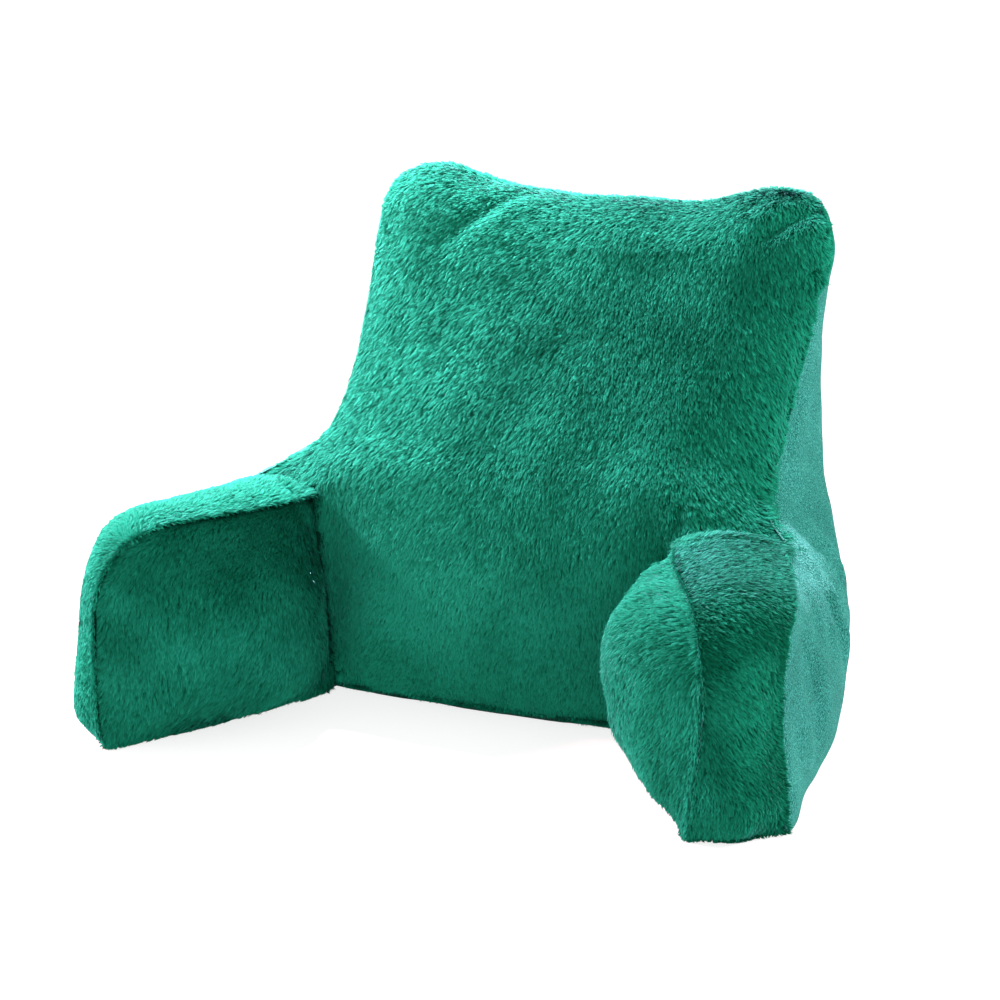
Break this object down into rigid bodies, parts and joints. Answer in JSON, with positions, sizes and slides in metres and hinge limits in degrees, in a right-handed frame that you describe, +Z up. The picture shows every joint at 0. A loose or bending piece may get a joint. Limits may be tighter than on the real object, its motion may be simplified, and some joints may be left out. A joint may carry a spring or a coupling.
{
  "type": "reading pillow",
  "caption": "Stuffed reading pillow for sitting up in bed: a tall sloping back with puffed top corners, two boxed arms and a flat base, in short plush with a smooth back.",
  "frame": {"origin": "middle of the pillow's footprint on the floor", "axes": "+X to the right seen from the front, -Y to the front where the arms point, +Z up"},
  "size_m": [0.7162, 0.5298, 0.4998],
  "materials": {
    "plush": "short soft plush pile",
    "smooth_knit": "smooth short-pile knit",
    "base_cloth": "plain woven cloth"
  },
  "bodies": {
    "root": {"backrest": "plush", "arm_left": "plush", "arm_right": "plush", "arm_band_left": "plush", "arm_band_right": "plush", "back_panel": "smooth_knit", "base_panel": "base_cloth"}
  },
  "joints": []
}
